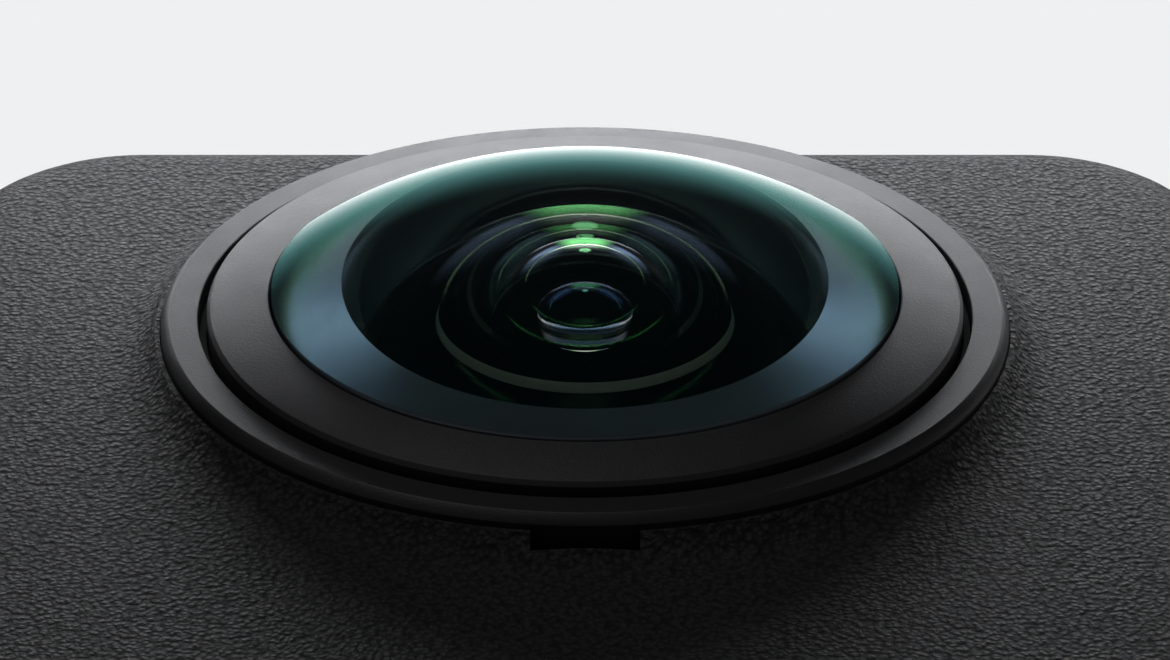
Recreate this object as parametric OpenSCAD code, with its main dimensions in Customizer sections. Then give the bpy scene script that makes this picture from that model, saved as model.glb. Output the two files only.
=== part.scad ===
// Compact two-lens 360 degree camera: a slim upright body with a fisheye lens on each broad face.
// Millimetres. The front lens looks along -Y, +Z is up, and z = 0 is the base that it stands on.

/* [Body] */
// Width of the body across its narrow sides
body_w = 61; // [58:0.5:70]
// Height of the body from base to top
body_h = 81; // [79:0.5:95]
// Depth of the body between its two broad faces
body_d = 23.2; // [22.4:0.2:28]
// Radius of the four corners seen from the front
corner_r = 9.5; // [8:0.25:10]
// Radius that rounds every outer edge of the body
edge_r = 4; // [3:0.25:4.5]
// Thickness of the shell walls
wall = 1.6; // [1.4:0.1:2]
// Depth of the rear shell's side wall
rear_shell_d = 3.8; // [3.2:0.1:4.4]
// Width of the seal between the two shells
shell_seal_w = 0.7; // [0.4:0.1:0.9]
// Thickness of the seal between the two shells
shell_seal_t = 0.4; // [0.3:0.1:0.8]

/* [Lens ring] */
// Distance from the lens axis up to the top of the body
lens_from_top = 21.8; // [21.4:0.1:24]
// Height of the collar's rim above the body's face
collar_h = 1; // [0.6:0.1:1.4]
// Radius of the concave flare round the collar
flare_r = 2.5; // [1.8:0.1:4]
// Height of the trim ring above the collar's rim
trim_step = 0.65; // [0.5:0.05:1]
// Width of the trim ring's flat top
trim_w = 1.26; // [0.9:0.02:1.5]
// Chamfer on the trim ring's outer edge
trim_chamfer = 0.39; // [0.2:0.01:0.45]
// Width of the groove between trim ring and bezel
groove_w = 0.4; // [0.3:0.05:0.6]
// Height of the bezel's outer edge above the trim ring
bezel_step = 0.45; // [0.2:0.05:0.7]
// Width of the bezel's sloping face
bezel_w = 2.74; // [2.2:0.02:3]
// Rise of the bezel's face from its outer to its inner edge
bezel_rise = 0.45; // [0.2:0.05:0.8]
// Height of the glass edge above the bezel's inner edge
glass_proud = 0.2; // [0.1:0.05:0.4]
// Width of the keying notch below the ring
notch_w = 4.5; // [3:0.1:6]
// Length of the keying notch away from the ring
notch_l = 0.6; // [0.4:0.1:2]
// Depth of the keying notch below the body's face
notch_d = 0.4; // [0.2:0.05:0.7]

/* [Lens glass] */
// Radius of the dome glass at its edge
glass_r = 13.8; // [13:0.1:14.2]
// Radius of curvature of the dome's outer face
dome_r = 27; // [23:0.5:32]
// Thickness of the dome glass at its edge
glass_edge_t = 1.95; // [1.7:0.05:2.2]
// Width of the flat glass shoulder that rests on the seat ring
shoulder_w = 4; // [3:0.1:4.6]
// Thickness of the dome glass at its middle
dome_t = 1.3; // [1.1:0.05:1.5]
// Thickness of the seat ring under the shoulder
seat_ring_t = 0.5; // [0.3:0.05:0.7]
// Thickness of the barrel's mounting flange
flange_t = 1.4; // [1:0.1:1.6]
// Radius of the second lens
second_r = 7.2; // [6.8:0.05:7.4]
// Air between the dome glass and the second lens at their middles
second_air = 0.7; // [0.5:0.05:1]
// Thickness of the second lens at its edge
second_edge_t = 1.3; // [1.1:0.05:1.5]
// Thickness of the second lens at its middle
second_t = 1.9; // [1.7:0.05:2.2]
// Radius of the hollow's mouth in the second lens
second_hollow_r = 4.9; // [4.8:0.05:5.2]
// Radius of the inner and rear lenses
inner_r = 2.4; // [2.3:0.05:2.6]
// Height of the inner lens's tip above the seat of the second lens
inner_stand = 2.2; // [1.8:0.1:2.6]
// Radius of curvature of the inner lens's face
inner_dome_r = 3.65; // [3:0.05:5]
// Radius of curvature of the rear lens's face
rear_dome_r = 6; // [5:0.25:9]
// Width of the opening in the gate
gate_w = 3.2; // [2.4:0.1:3.4]
// Height of the opening in the gate
gate_h = 2.4; // [2:0.1:2.8]
// Side of the square image sensor
sensor_w = 11; // [9:0.25:11.2]
// Thickness of the image sensor
sensor_t = 1; // [0.8:0.1:1.2]
// Side of the square sensor board
sensor_board_w = 20; // [19:0.5:24]

/* [Display] */
// Width of the display's cover glass
display_w = 49; // [44:0.5:50]
// Height of the display's cover glass
display_h = 27.6; // [24:0.2:28]
// Thickness of the display's cover glass
display_cover_t = 0.8; // [0.6:0.05:1]
// Width of the border that rests on the shell's ledge
display_border = 1.4; // [1:0.1:2]
// Thickness of the display panel
display_panel_t = 1.3; // [1:0.1:1.6]
// Distance from the lens axis down to the display's upper edge
display_down = 22.6; // [22.2:0.1:24]

/* [Controls] */
// Radius of the shutter button
shutter_r = 6.2; // [5:0.1:7]
// Distance from the base up to the shutter button's centre
shutter_z = 19; // [17:0.5:21]
// Travel of the shutter button
shutter_travel = 0.4; // [0.2:0.05:0.5]
// Height of the shutter button above the body's face
shutter_proud = 0.35; // [0.1:0.05:0.6]
// Length of the power button
power_l = 9; // [7:0.25:10]
// Length of the quick button
quick_l = 6.5; // [5.5:0.25:8]
// Width of both side buttons
key_w = 4.2; // [3.4:0.1:5]
// Height of the side buttons above the body's side
key_proud = 0.3; // [0.1:0.05:0.5]
// Travel of the side buttons
key_travel = 0.3; // [0.2:0.05:0.4]
// Distance from the lens axis up to the power button's centre
power_up = 4.8; // [3.3:0.1:6.8]
// Distance from the lens axis down to the quick button's centre
quick_down = 9.2; // [8.2:0.1:11.2]

/* [Battery door] */
// Width of the battery door
door_w = 12.7; // [12:0.1:13]
// Thickness of the battery door
door_t = 2.4; // [2.2:0.1:2.8]
// Distance from the base up to the door's hinge axis
door_hinge_z = 11; // [10.5:0.1:11.4]
// Height of the door above its hinge axis
door_l = 30.4; // [29.8:0.1:32]
// Radius of the door's hinge knuckle
knuckle_r = 1.35; // [1.2:0.05:1.5]
// Length of the door's hinge knuckle
knuckle_l = 6.4; // [4:0.2:7]
// Radius of both hinge pins
pin_r = 0.5; // [0.4:0.05:0.6]
// Travel of the latch from open to locked
latch_travel = 2; // [1.4:0.1:2.4]
// Width of the latch's thumb piece
latch_w = 6; // [5:0.2:7]
// Length of the latch's thumb piece
latch_l = 5; // [4:0.2:6]

/* [Battery] */
// Length of the battery pack, from its contacts to the door
battery_l = 41; // [38:0.5:42]
// Thickness of the battery pack
battery_t = 12.2; // [11.6:0.1:12.3]
// Height of the battery pack
battery_h = 24.4; // [22:0.2:24.6]

/* [Connector door] */
// Width of the connector door
port_door_w = 8.8; // [7:0.2:10]
// Thickness of the connector door
port_door_t = 1.8; // [1.7:0.1:2]
// Distance from the base up to the connector door's hinge axis
port_hinge_z = 13.4; // [12.5:0.1:14]
// Height of the connector door above its hinge axis
port_door_l = 14.4; // [14:0.2:16]
// Radius of the connector door's hinge knuckle
port_knuckle_r = 1.1; // [1:0.05:1.2]
// Length of the connector door's hinge knuckle
port_knuckle_l = 4.4; // [3:0.2:5]

/* [Base] */
// Length of the base plate
base_l = 38; // [36:0.5:40]
// Width of the base plate
base_w = 13.4; // [12.4:0.2:14]
// Thickness of the base plate
base_t = 1.5; // [1.2:0.1:1.8]
// Height of the solid block behind the base plate
base_block_h = 4.6; // [4.4:0.1:5.4]
// Radius of the tripod thread
thread_r = 3.175; // [2.5:0.005:3.2]
// Depth of the tripod thread
thread_l = 5.4; // [5:0.1:5.8]
// Radius of the threaded bush
bush_r = 4.4; // [4:0.1:4.8]
// Radius of the base magnets
magnet_r = 3; // [2.4:0.1:3.2]
// Thickness of the base magnets
magnet_t = 1.8; // [1.4:0.1:2]
// Length of the clamp grooves at the foot of both faces
claw_l = 14; // [10:0.5:18]
// Height of the clamp grooves
claw_h = 1.6; // [1:0.1:1.8]
// Depth of the clamp grooves
claw_d = 1.3; // [0.8:0.1:1.5]

/* [Hidden] */
$fn = 72;
lens_fn = 240;

// Colours
shell_colour = [0.06, 0.06, 0.065];
metal_colour = [0.22, 0.22, 0.24];
black_colour = [0.02, 0.02, 0.02];
glass_colour = [0.1, 0.2, 0.24, 0.5];
board_colour = [0.05, 0.2, 0.12];
steel_colour = [0.62, 0.63, 0.65];
brass_colour = [0.7, 0.58, 0.3];
mark_colour = [0.75, 0.16, 0.08];
light_colour = [0.75, 0.8, 0.78];

// Clearances: between cut faces, round a close fit, and round a running fit
cut = 1;
fit = 0.06;
press = 0.03;
slack = 0.1;
run = 0.2;
door_gap = 0.25;
board_t = 0.7;
spreader_t = 1;
spreader_gap = 2.65;
spreader_above = 6;

// Planes of the body
half_w = body_w / 2;
half_d = body_d / 2;
part_y = half_d - rear_shell_d;
shell_seal_in = 0.45;
lens_z = body_h - lens_from_top;

// Heights along the lens axis, measured outwards from the plane of the glass edge
trim_sunk = 0.15;
bezel_in_h = -glass_proud;
bezel_out_h = bezel_in_h - bezel_rise;
trim_top_h = bezel_out_h - bezel_step;
collar_top_h = trim_top_h - trim_step;
face_h = collar_top_h - collar_h;
shoulder_h = -glass_edge_t;
flange_top_h = shoulder_h - seat_ring_t;
flange_foot_h = flange_top_h - flange_t;
trim_foot_h = flange_top_h - trim_sunk;
boss_foot_h = flange_foot_h - wall;
edge_y = half_d - face_h;
board_foot_h = spreader_t / 2 - edge_y;
board_top_h = board_foot_h + board_t;
dome_sag = cap_sag(dome_r, glass_r);

// Radii of the lens stack, each from the one inside it
glass_gap = 0.1;
rim_w = 0.2;
seat_gap = 0.15;
boss_wall = 0.85;
tube_wall = 1.2;
sensor_gap = 0.22;
bezel_in_r = glass_r + glass_gap;
bezel_r = bezel_in_r + bezel_w;
trim_in_r = bezel_r + groove_w;
trim_top_r = trim_in_r + trim_w;
trim_r = trim_top_r + trim_chamfer;
pocket_r = trim_r + fit;
rim_r = pocket_r + rim_w;
flange_r = trim_in_r - fit;
hollow_r = glass_r - shoulder_w;
cup_wall = 1.4;
cup_in_r = hollow_r + seat_gap;
cup_r = cup_in_r + cup_wall;
sensor_cave_r = sensor_w * sqrt(0.5) + sensor_gap;
tube_r = sensor_cave_r + tube_wall;
boss_r = pocket_r + boss_wall;
bezel_chamfer = 0.2;
flare_sunk = 0.03;

// Seats inside the barrel
cup_depth = 1.45;
cup_floor_t = 1.2;
cell_h = 0.8;
cell_wall = 0.7;
cell_sunk = 0.1;
well_rim = 0.3;
well_d = 0.3;
lens_air = 0.1;
hollow_top_h = dome_sag - dome_t;
hollow_dome_r = cap_radius(hollow_r, hollow_top_h - shoulder_h);
cup_floor_h = flange_top_h - cup_depth;
cup_foot_h = cup_floor_h - cup_floor_t;
second_seat_h = cup_floor_h + cell_sunk - cell_h;
second_edge_h = second_seat_h + second_edge_t;
second_top_h = hollow_top_h - second_air;
second_dome_r = cap_radius(second_r, second_top_h - second_edge_h);
second_hollow_h = second_top_h - second_t;
second_hollow_dome_r = cap_radius(second_hollow_r, second_hollow_h - second_seat_h);
cell_r = second_r + fit + cell_wall;
inner_bore_r = inner_r + fit;
inner_sunk = 1.4;
inner_top_h = second_seat_h + inner_stand;
inner_foot_h = second_seat_h - inner_sunk;
gate_t = 0.25;
gate_top_h = inner_foot_h - lens_air;
rear_edge_t = 0.4;
rear_top_h = gate_top_h - gate_t - lens_air;
rear_foot_h = rear_top_h - cap_sag(rear_dome_r, inner_r) - rear_edge_t;
sensor_cave_h = rear_foot_h - lens_air / 2;

// Shutter button
shutter_flange_w = 0.9;
shutter_round = 0.35;
shutter_flange_r = shutter_r + shutter_flange_w;
shutter_flange_t = 0.6;
shutter_stem_r = 1.5;
shutter_stem_l = 0.5;
shutter_board_w = 16;
shutter_board_h = 12;
shutter_switch_r = 2.2;
shutter_mark_r = 3.4;
shutter_mark_w = 0.8;
shutter_mark_t = 0.3;
inner_face_y = half_d - wall;
shutter_back_y = inner_face_y - slack - shutter_flange_t;
shutter_stem_y = shutter_back_y - shutter_stem_l;

// Side buttons, measured inwards from the side of the body
power_z = lens_z + power_up;
quick_z = lens_z - quick_down;
key_flange_t = 0.5;
key_flange_in = wall + slack;
key_flange_rim = 0.7;
key_back_in = key_flange_in + key_flange_t;
key_nub_r = 1;
key_nub_l = 0.1;
key_switch_in = key_back_in + key_nub_l + key_travel + slack;
key_switch_h = 0.85;
key_switch_w = 3.6;
key_board_in = key_switch_in + key_switch_h;
key_board_w = 6.4;
key_board_rim = 5.5;

// Speaker and microphones
speaker_up = 2.8;
speaker_z = lens_z + speaker_up;
speaker_l = 14;
speaker_w = 8;
speaker_t = 3.4;
speaker_slots = 5;
slot_pitch = 1.43;
slot_w = 0.9;
mic_r = 1.7;
mic_t = 1.1;
mic_hole_r = 0.5;
mic_x = 13;
front_mic_x = 16;

// Battery bay and battery
bay_wall = 0.7;
bay_gap = 0.1;
bay_mouth_gap = 0.7;
battery_sunk = 0.3;
bay_rise = 0.5;
bay_mouth_x = half_w - door_t - bay_mouth_gap;
bay_half_d = battery_t / 2 + bay_gap + bay_wall;
battery_x0 = bay_mouth_x - battery_sunk - battery_l;
bay_x0 = battery_x0 - bay_gap - bay_wall;
battery_z0 = door_hinge_z + knuckle_r + bay_rise;
bay_z0 = battery_z0 - bay_gap - bay_wall;
bay_z1 = battery_z0 + battery_h + bay_gap + bay_wall;
contact_from_top = 5;
contact_z = battery_z0 + battery_h - contact_from_top;
contact_w = 8;
contact_h = 3.6;
contact_out = 0.7;

// Card socket on top of the battery bay
card_l = 14.5;
card_w = 11.4;
card_h = 1.5;
card_wall = 0.4;
card_back = 1;

// Doors
door_r = 2;
hinge_gap = 0.3;
ear_l = 2.4;
ear_in = 2.9;
door_top = door_hinge_z + door_l;
door_foot = door_hinge_z + knuckle_r + hinge_gap;
seal_t = 0.6;
seal_w = 0.9;
seal_inset = 0.8;
latch_from_top = 1.9;
latch_gap = 0.15;
latch_lift = 0.05;
latch_floor_in = 1.6;
latch_face_in = 0.25;
latch_top = door_top - latch_from_top;
latch_z0 = latch_top - latch_travel - latch_l - latch_gap;
tongue_w = 3.6;
tongue_out_in = 0.8;
latch_ribs = 4;
latch_rib_h = 0.2;
latch_rib_w = 0.45;
latch_rib_inset = 0.5;

// Connector
port_top = port_hinge_z + port_door_l;
port_foot = port_hinge_z + port_knuckle_r + hinge_gap;
port_z = (port_foot + port_top) / 2;
socket_l = 8.94;
socket_w = 3.26;
socket_wall = 0.32;
socket_d = 7.3;
socket_tongue_t = 0.7;
socket_gap = 0.3;
socket_back = 1;
socket_mouth_in = port_door_t + socket_gap;
connector_board_t = 0.8;
connector_board_h = 13;
connector_board_in = 0.4;
grip_r = 1.4;

// Boards behind the display
main_board_t = 0.8;
main_board_rim = 3;
shield_t = 2;
shield_wall = 0.3;
shield_inset = 1;
shield_rim = 2;

// Display
display_recess = 0.05;
display_r = 2.5;
cover_foot_y = half_d - display_recess - display_cover_t;
display_mid_z = lens_z - display_down - display_h / 2;
window_w = display_w - 2 * display_border;
window_h = display_h - 2 * display_border;
window_r = display_r - display_border / 2;

// Status light
light_l = 4;
light_w = 1.2;
light_z = 30;
light_flange = 0.6;
light_flange_t = 0.5;

// Base
base_plate_r = 2.5;
base_block_l = 42;
bush_flange_w = 1.5;
bush_flange_r = bush_r + bush_flange_w;
bush_flange_t = 1.1;
bush_crown = 0.8;
magnet_x = 11.4;
screw_in_x = 2.4;
screw_in_y = 2.6;
screw_x = base_l / 2 - screw_in_x;
screw_y = base_w / 2 - screw_in_y;
screw_head_r = 1.5;
screw_head_t = 0.75;
screw_r = 0.8;
screw_l = 3.2;
screw_sunk = 0.1;
screw_socket_r = 0.75;
screw_socket_l = 0.45;
claw_z = 3;

// Round caps: the height from the curvature and the edge radius, and the curvature from radius and height

function cap_sag(curve_r, edge_r) = curve_r - sqrt(pow(curve_r, 2) - pow(edge_r, 2));
function cap_radius(edge_r, sag) = (pow(edge_r, 2) + pow(sag, 2)) / (2 * sag);

// Flat outlines

module rounded_rect(w, h, r) {
    square([w - 2 * r, h], center = true);
    square([w, h - 2 * r], center = true);
    for (sx = [-1, 1], sy = [-1, 1])
        translate([sx * (w / 2 - r), sy * (h / 2 - r)]) circle(r);
}

module pill(l, w) {
    square([l - w, w], center = true);
    for (s = [-1, 1]) translate([s * (l - w) / 2, 0]) circle(w / 2);
}

// Body forms

// A slab standing on z = 0 whose corners and edges are rounded all round.
module slab(w, h, d, rc, re) {
    translate([0, 0, rc]) linear_extrude(h - 2 * rc) rounded_rect(w, d, re);
    rotate([90, 0, 90]) linear_extrude(w - 2 * rc, center = true)
        translate([0, h / 2]) rounded_rect(d, h, re);
    for (k = [0 : 3]) {
        sx = (k == 0 || k == 3) ? 1 : -1;
        up = k < 2;
        translate([sx * (w / 2 - rc), 0, up ? h - rc : rc]) rotate([90, 0, 0]) rotate([0, 0, 90 * k])
            rotate_extrude(angle = 90) intersection() {
                rounded_rect(2 * rc, d, re);
                translate([0, -d / 2]) square([rc, d]);
            }
    }
}

module outer_slab(grow = 0) {
    slab(body_w, body_h, body_d + 2 * grow, corner_r, edge_r + grow);
}

module inner_slab(inset = wall) {
    translate([0, 0, inset])
        slab(body_w - 2 * inset, body_h - 2 * inset, body_d - 2 * inset, corner_r - inset, edge_r - inset);
}

// The space in front of the parting plane, or behind it.
module side_of_parting(rear) {
    reach = body_w + body_h;
    translate([-reach, rear ? part_y : part_y - reach, -cut]) cube([2 * reach, reach, reach]);
}

// Lens frame: the axis is local Z, zero at the plane of the glass edge, outwards positive.
module at_lens(rear) {
    rotate([0, 0, rear ? 180 : 0]) translate([0, -edge_y, lens_z]) rotate([90, 0, 0]) children();
}

module ring(r0, r1, h0, h1) {
    rotate_extrude() translate([r0, h0]) square([r1 - r0, h1 - h0]);
}

module disc(r, h0, h1) {
    translate([0, 0, h0]) cylinder(r = r, h = h1 - h0);
}

// The collar that rises from the face to the trim ring, and the boss behind it.
module lens_collar() {
    flare_x = sqrt(pow(flare_r, 2) - pow(flare_r - flare_sunk - collar_h, 2));
    ring(cup_r, boss_r, boss_foot_h, face_h - wall / 2);
    rotate_extrude() difference() {
        translate([cup_r, face_h - wall]) square([rim_r + flare_x - cup_r, wall + collar_h]);
        translate([rim_r + flare_x, face_h - flare_sunk + flare_r]) circle(flare_r);
    }
}

module lens_pocket() {
    disc(cup_r + run, boss_foot_h - cut, cut);
    disc(trim_in_r, flange_foot_h, cut);
    disc(pocket_r, trim_foot_h, cut);
    translate([-notch_w / 2, -pocket_r - notch_l, face_h - notch_d])
        cube([notch_w, notch_l + trim_w, notch_d + collar_h + cut]);
}

// The solid block at the foot of the body that carries the base fittings.
module base_block() {
    intersection() {
        inner_slab(wall / 2);
        translate([-base_block_l / 2, -body_d, 0]) cube([base_block_l, 2 * body_d, base_block_h]);
    }
}

module claw_groove(s) {
    translate([-claw_l / 2, s > 0 ? half_d - claw_d : -half_d - cut, claw_z])
        cube([claw_l, claw_d + cut, claw_h]);
}

// One half of the body: walls, lens collar and base block, with the lens pocket and clamp groove cut.
module half_shell(rear) {
    difference() {
        union() {
            difference() {
                intersection() {
                    outer_slab();
                    side_of_parting(rear);
                }
                inner_slab();
            }
            intersection() {
                at_lens(rear) lens_collar();
                outer_slab(collar_h);
            }
            intersection() {
                base_block();
                side_of_parting(rear);
            }
        }
        at_lens(rear) lens_pocket();
        claw_groove(rear ? 1 : -1);
    }
}

// Side frame: local Z points out of the +X side, local X runs along Y and local Y runs up.
module at_side() {
    translate([half_w, 0, 0]) rotate([90, 0, 90]) children();
}

module seal_path(inset, y0, t) {
    translate([0, y0 + t, 0]) rotate([90, 0, 0]) linear_extrude(t) translate([0, body_h / 2])
        rounded_rect(body_w - 2 * inset, body_h - 2 * inset, corner_r - inset);
}

module shell_seal_form(grow) {
    difference() {
        seal_path(shell_seal_in - grow, part_y, shell_seal_t + grow);
        translate([0, -cut, 0])
            seal_path(shell_seal_in + shell_seal_w + grow, part_y, shell_seal_t + 2 * cut);
    }
}

// Hinged doors, in the side frame

// A door's outline, with round corners at the top and square ones at its hinge.
module door_outline(w, h, r) {
    rounded_rect(w, h, r);
    translate([0, -h / 4]) square([w, h / 2], center = true);
}

module door_plate(w, t, foot, top) {
    translate([0, (foot + top) / 2, -t]) linear_extrude(t) door_outline(w, top - foot, door_r);
}

module door_knuckle(t, axis_z, foot, r, l) {
    rotate([90, 0, 90]) linear_extrude(l, center = true) {
        translate([axis_z, -r]) circle(r);
        translate([axis_z, -t]) square([foot + door_r - axis_z, t]);
    }
}

module door_form(w, t, axis_z, foot, top, r, l) {
    difference() {
        union() {
            door_plate(w, t, foot, top);
            door_knuckle(t, axis_z, foot, r, l);
        }
        hinge_rod(axis_z, r, pin_r + slack, w);
    }
}

module hinge_rod(axis_z, r, rod_r, l) {
    translate([0, axis_z, -r]) rotate([0, 90, 0]) cylinder(r = rod_r, h = l, center = true);
}

module door_opening(w, t, axis_z, foot, top, r, l) {
    depth = t + cut;
    translate([0, (foot + top) / 2, -depth]) linear_extrude(depth + cut)
        door_outline(w + 2 * door_gap, top - foot + 2 * door_gap, door_r + door_gap);
    translate([-l / 2 - run, axis_z - r - hinge_gap, -ear_in - cut])
        cube([l + 2 * run, foot + door_r - axis_z + r, ear_in + 2 * cut]);
    rotate([90, 0, 90]) linear_extrude(w + 2 * door_gap, center = true) translate([axis_z, -r])
        difference() {
            square([foot - axis_z, r + cut]);
            circle(foot - axis_z - slack);
        }
}

module hinge_ears(axis_z, r, l) {
    for (s = [-1, 1])
        translate([s > 0 ? l / 2 + run : -l / 2 - run - ear_l, axis_z - r, -ear_in])
            cube([ear_l, 2 * r, ear_in - wall / 2]);
}

module battery_door_opening() {
    door_opening(door_w, door_t, door_hinge_z, door_foot, door_top, knuckle_r, knuckle_l);
}

module port_door_opening() {
    door_opening(port_door_w, port_door_t, port_hinge_z, port_foot, port_top,
        port_knuckle_r, port_knuckle_l);
}

// Keeper slot above the battery door that takes the latch's tongue.
module keeper_slot() {
    translate([-tongue_w / 2 - run, door_top, -wall - slack])
        cube([tongue_w + 2 * run, door_gap + latch_travel + run, wall + slack - tongue_out_in + run]);
}

// Casing

module front_shell() {
    color(shell_colour) difference() {
        union() {
            half_shell(false);
            at_side() hinge_ears(door_hinge_z, knuckle_r, knuckle_l);
            mirror([1, 0, 0]) at_side() hinge_ears(port_hinge_z, port_knuckle_r, port_knuckle_l);
        }
        at_side() {
            battery_door_opening();
            hinge_rod(door_hinge_z, knuckle_r, pin_r + press, knuckle_l + 2 * ear_l);
            keeper_slot();
            for (k = [0 : speaker_slots - 1])
                translate([(k - (speaker_slots - 1) / 2) * slot_pitch, speaker_z, -wall - cut])
                    linear_extrude(wall + 2 * cut) rotate([0, 0, 90]) pill(speaker_l / 2, slot_w);
        }
        mirror([1, 0, 0]) at_side() {
            port_door_opening();
            hinge_rod(port_hinge_z, port_knuckle_r, pin_r + press, port_knuckle_l + 2 * ear_l);
            translate([0, power_z, -wall - cut]) linear_extrude(wall + 2 * cut)
                rotate([0, 0, 90]) pill(power_l + 2 * run, key_w + 2 * run);
            translate([0, quick_z, -wall - cut]) linear_extrude(wall + 2 * cut)
                rotate([0, 0, 90]) pill(quick_l + 2 * run, key_w + 2 * run);
        }
        translate([0, 0, shutter_z]) rotate([90, 0, 0])
            disc(shutter_r + run, inner_face_y - cut, half_d + cut);
        translate([front_mic_x, 0, shutter_z]) rotate([90, 0, 0])
            disc(mic_hole_r, inner_face_y - cut, half_d + cut);
        for (s = [-1, 1]) translate([s * mic_x, 0, 0]) disc(mic_hole_r, body_h - wall - cut, body_h + cut);
        translate([0, 0, light_z]) rotate([90, 0, 0]) translate([0, 0, inner_face_y - cut])
            linear_extrude(wall + 2 * cut) pill(light_l + 2 * fit, light_w + 2 * fit);
        base_pockets();
    }
}

module base_pockets() {
    translate([0, 0, -cut]) linear_extrude(base_t + cut)
        rounded_rect(base_l + 2 * fit, base_w + 2 * fit, base_plate_r + fit);
    disc(bush_flange_r + fit, base_t - cut, base_t + bush_flange_t + fit);
    disc(bush_r + fit, base_t, base_block_h + cut);
    for (s = [-1, 1]) translate([s * magnet_x, 0, 0])
        disc(magnet_r + fit, base_t - cut, base_t + magnet_t + fit);
    for (sx = [-1, 1], sy = [-1, 1])
        translate([sx * screw_x, sy * screw_y, 0])
            disc(screw_r + fit, base_t - cut, screw_sunk + screw_head_t + screw_l + fit);
}

module rear_shell() {
    color(shell_colour) difference() {
        half_shell(true);
        shell_seal_form(fit);
        translate([0, half_d + cut, display_mid_z]) rotate([90, 0, 0]) {
            linear_extrude(cut + display_recess + display_cover_t)
                rounded_rect(display_w + 2 * fit, display_h + 2 * fit, display_r + fit);
            linear_extrude(2 * cut + wall) rounded_rect(window_w, window_h, window_r);
        }
    }
}

module shell_seal() {
    color(black_colour) shell_seal_form(0);
}

module heat_spreader() {
    left = -half_w + key_board_in + board_t;
    right = half_w - wall - speaker_t;
    foot = bay_z1 + card_h + spreader_gap;
    color(steel_colour) translate([left, -spreader_t / 2, foot])
        cube([right - left, spreader_t, lens_z + sensor_board_w / 2 + spreader_above - foot]);
}

module battery_bay() {
    color(black_colour) difference() {
        translate([bay_x0, -bay_half_d, bay_z0])
            cube([bay_mouth_x - bay_x0, 2 * bay_half_d, bay_z1 - bay_z0]);
        translate([bay_x0 + bay_wall, -bay_half_d + bay_wall, bay_z0 + bay_wall])
            cube([bay_mouth_x - bay_x0, 2 * (bay_half_d - bay_wall), bay_z1 - bay_z0 - 2 * bay_wall]);
        translate([bay_x0 - cut, -contact_w / 2 - fit, contact_z - contact_h / 2 - fit])
            cube([bay_wall + 2 * cut, contact_w + 2 * fit, contact_h + 2 * fit]);
    }
}

// Lens pieces, the same on both faces

module trim_ring(rear) {
    color(metal_colour) at_lens(rear) rotate_extrude() polygon([
        [trim_in_r, trim_foot_h],
        [trim_r, trim_foot_h],
        [trim_r, trim_top_h - trim_chamfer],
        [trim_top_r, trim_top_h],
        [trim_in_r, trim_top_h]
    ]);
}

module bezel(rear) {
    color(metal_colour) at_lens(rear) rotate_extrude() polygon([
        [bezel_in_r, flange_top_h],
        [bezel_r, flange_top_h],
        [bezel_r, bezel_out_h - bezel_chamfer],
        [bezel_r - bezel_chamfer, bezel_out_h],
        [bezel_in_r, bezel_in_h]
    ]);
}

module ring_seal(rear) {
    color(black_colour) at_lens(rear) ring(bezel_r + fit, trim_in_r - fit, flange_top_h, shoulder_h);
}

// A round glass on the lens axis: its outer face is a cap, its foot is flat.
module glass_cap(top_h, curve_r, edge_r, foot_h) {
    intersection() {
        translate([0, top_h - curve_r]) circle(curve_r, $fn = lens_fn);
        translate([0, foot_h]) square([edge_r, top_h - foot_h]);
    }
}

module dome_lens(rear) {
    color(glass_colour) at_lens(rear) rotate_extrude() difference() {
        glass_cap(dome_sag, dome_r, glass_r, shoulder_h);
        translate([0, hollow_top_h - hollow_dome_r]) circle(hollow_dome_r, $fn = lens_fn);
    }
}

module seat_ring(rear) {
    color(black_colour) at_lens(rear) ring(cup_in_r, glass_r, flange_top_h, shoulder_h);
}

module lens_barrel(rear) {
    color(black_colour) at_lens(rear) rotate_extrude() polygon([
        [cup_in_r, flange_top_h],
        [flange_r, flange_top_h],
        [flange_r, flange_foot_h],
        [cup_r, flange_foot_h],
        [cup_r, cup_foot_h],
        [tube_r, cup_foot_h],
        [tube_r, board_top_h],
        [sensor_cave_r, board_top_h],
        [sensor_cave_r, sensor_cave_h],
        [inner_bore_r, sensor_cave_h],
        [inner_bore_r, second_seat_h - well_d],
        [second_hollow_r - well_rim, second_seat_h],
        [cell_r + fit, second_seat_h],
        [cell_r + fit, cup_floor_h],
        [cup_in_r, cup_floor_h]
    ]);
}

module second_lens(rear) {
    color(glass_colour) at_lens(rear) rotate_extrude() difference() {
        glass_cap(second_top_h, second_dome_r, second_r, second_seat_h);
        translate([0, second_hollow_h - second_hollow_dome_r]) circle(second_hollow_dome_r, $fn = lens_fn);
    }
}

module second_cell(rear) {
    color(metal_colour) at_lens(rear) ring(second_r + fit, cell_r, second_seat_h, second_seat_h + cell_h);
}

module gate(rear) {
    color(black_colour) at_lens(rear) difference() {
        disc(inner_r, gate_top_h - gate_t, gate_top_h);
        translate([-gate_w / 2, -gate_h / 2, gate_top_h - gate_t - cut])
            cube([gate_w, gate_h, gate_t + 2 * cut]);
    }
}

module inner_lens(rear) {
    color(glass_colour) at_lens(rear) rotate_extrude()
        glass_cap(inner_top_h, inner_dome_r, inner_r, inner_foot_h);
}

module rear_lens(rear) {
    color(glass_colour) at_lens(rear) rotate_extrude()
        glass_cap(rear_top_h, rear_dome_r, inner_r, rear_foot_h);
}

module sensor(rear) {
    color(steel_colour) at_lens(rear) translate([-sensor_w / 2, -sensor_w / 2, board_top_h])
        cube([sensor_w, sensor_w, sensor_t]);
}

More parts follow.
